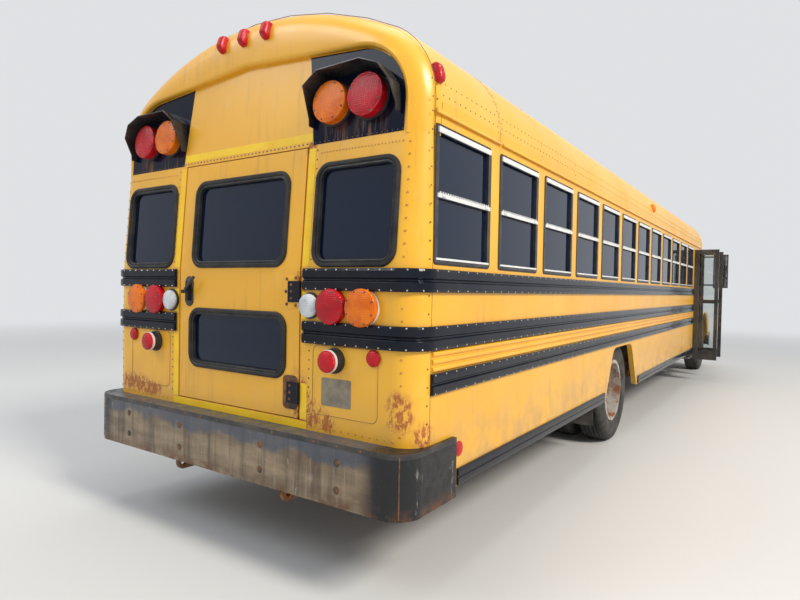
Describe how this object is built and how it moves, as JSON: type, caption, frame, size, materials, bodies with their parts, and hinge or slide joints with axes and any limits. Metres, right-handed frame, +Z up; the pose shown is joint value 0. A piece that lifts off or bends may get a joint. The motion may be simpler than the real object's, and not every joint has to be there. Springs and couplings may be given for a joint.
{
  "type": "school bus",
  "caption": "Conventional long-nose school bus with ribbed rub rails, dual rear wheels, rear emergency door, tilting hood and a folding two-leaf entrance.",
  "frame": {"origin": "on the ground under the middle of the overall length and width", "axes": "+Y forward along the bus, +X to the curb side, +Z up"},
  "size_m": [3.28, 11.7, 3.0443],
  "materials": {
    "body_yellow": "glossy school-bus yellow, weathered",
    "rail_black": "semi-gloss black",
    "bumper_black": "worn black",
    "rusted_steel": "rusted",
    "frame_black": "matt black with rust",
    "tank_black": "satin black",
    "engine_grey": "matt",
    "exhaust_steel": "heat-dulled",
    "floor_grey": "matt",
    "step_metal": "ribbed",
    "window_silver": "satin",
    "dark_glass": "dark tint",
    "clear_glass": "clear",
    "red_lens": "glossy",
    "amber_lens": "glossy",
    "clear_lens": "glossy",
    "flap_rubber": "matt",
    "seat_vinyl": "vinyl",
    "trim_black": "matt",
    "stop_red": "reflective red, blank",
    "hatch_white": "weathered",
    "tyre": "matt",
    "rim_steel": "black steel"
  },
  "bodies": {
    "root": {"chassis_frame": "frame_black", "tow_hooks": "rusted_steel", "floor": "floor_grey", "wheelhouses": "floor_grey", "side_wall_left": "body_yellow", "side_wall_right": "body_yellow", "rear_wall": "body_yellow", "roof": "body_yellow", "front_wall": "body_yellow", "rub_rails": "rail_black", "window_frames": "window_silver", "side_glass": "dark_glass", "rear_glass": "dark_glass", "windshield": "clear_glass", "rear_bumper": "bumper_black", "front_bumper": "bumper_black", "red_lamps": "red_lens", "amber_lamps": "amber_lens", "clear_lamps": "clear_lens", "lamp_visors": "rail_black", "mudflaps": "flap_rubber", "seat_pads": "seat_vinyl", "seat_frames": "frame_black", "driver_seat": "seat_vinyl", "dashboard": "trim_black", "entrance_steps": "step_metal", "rear_axle": "frame_black", "front_axle": "frame_black", "leaf_springs": "frame_black", "fuel_tank": "tank_black", "exhaust": "exhaust_steel", "engine_block": "engine_grey", "mirrors": "trim_black", "stop_arm_base": "rail_black"},
    "hood": {"hood_shell": "body_yellow", "grille": "trim_black", "headlamps": "clear_lens"},
    "rear_door": {"rear_door": "body_yellow", "rear_door_glass": "dark_glass", "rear_door_fittings": "rail_black"},
    "entrance_rear": {"entrance_leaf_rear": "trim_black", "entrance_glass_rear": "clear_glass"},
    "entrance_front": {"entrance_leaf_front": "trim_black", "entrance_glass_front": "clear_glass"},
    "stop_arm": {"stop_arm": "stop_red"},
    "hatch_rear": {"hatch_rear": "hatch_white"},
    "hatch_front": {"hatch_front": "hatch_white"},
    "knuckle_left": {"knuckle_left": "frame_black"},
    "knuckle_right": {"knuckle_right": "frame_black"},
    "wheel_front_left": {"tyre_front_left": "tyre", "rim_front_left": "rim_steel"},
    "wheel_front_right": {"tyre_front_right": "tyre", "rim_front_right": "rim_steel"},
    "wheels_rear_left": {"tyres_rear_left": "tyre", "rims_rear_left": "rim_steel"},
    "wheels_rear_right": {"tyres_rear_right": "tyre", "rims_rear_right": "rim_steel"}
  },
  "joints": [
    {"name": "rear_door_swing", "type": "hinge", "parent": "root", "child": "rear_door", "pos_m": [0.505, -5.748, 1.2], "axis": [0, 0, 1], "range_deg": [0, 100]},
    {"name": "entrance_rear_swing", "type": "hinge", "parent": "root", "child": "entrance_rear", "pos_m": [1.225, 2.998, 1.3], "axis": [0, 0, 1], "range_deg": [0, 90]},
    {"name": "entrance_front_swing", "type": "hinge", "parent": "root", "child": "entrance_front", "pos_m": [1.225, 3.722, 1.3], "axis": [0, 0, -1], "range_deg": [0, 90]},
    {"name": "hood_tilt", "type": "hinge", "parent": "root", "child": "hood", "pos_m": [0, 5.68, 0.64], "axis": [-1, 0, 0], "range_deg": [0, 55]},
    {"name": "stop_arm_swing", "type": "hinge", "parent": "root", "child": "stop_arm", "pos_m": [-1.259, 2.947, 1.3865], "axis": [0, 0, -1], "range_deg": [0, 90]},
    {"name": "hatch_rear_lift", "type": "hinge", "parent": "root", "child": "hatch_rear", "pos_m": [0, -2.496, 3.013], "axis": [-1, 0, 0], "range_deg": [0, 80]},
    {"name": "hatch_front_lift", "type": "hinge", "parent": "root", "child": "hatch_front", "pos_m": [0, 1.704, 3.013], "axis": [-1, 0, 0], "range_deg": [0, 80]},
    {"name": "steer_left", "type": "hinge", "parent": "root", "child": "knuckle_left", "pos_m": [-0.9, 4.87, 0.5], "axis": [0, 0, 1], "range_deg": [-38, 38]},
    {"name": "steer_right", "type": "hinge", "parent": "root", "child": "knuckle_right", "pos_m": [0.9, 4.87, 0.5], "axis": [0, 0, 1], "range_deg": [-38, 38]},
    {"name": "spin_front_left", "type": "hinge", "parent": "knuckle_left", "child": "wheel_front_left", "pos_m": [-1.01, 4.87, 0.5], "axis": [-1, 0, 0], "continuous": true},
    {"name": "spin_front_right", "type": "hinge", "parent": "knuckle_right", "child": "wheel_front_right", "pos_m": [1.01, 4.87, 0.5], "axis": [-1, 0, 0], "continuous": true},
    {"name": "spin_rear_left", "type": "hinge", "parent": "root", "child": "wheels_rear_left", "pos_m": [-0.862, -1.89, 0.5], "axis": [-1, 0, 0], "continuous": true},
    {"name": "spin_rear_right", "type": "hinge", "parent": "root", "child": "wheels_rear_right", "pos_m": [0.862, -1.89, 0.5], "axis": [-1, 0, 0], "continuous": true}
  ],
  "couplings": [
    {"joint": "entrance_front_swing", "follows": "entrance_rear_swing", "ratio": 1},
    {"joint": "steer_left", "follows": "steer_right", "ratio": 1}
  ]
}
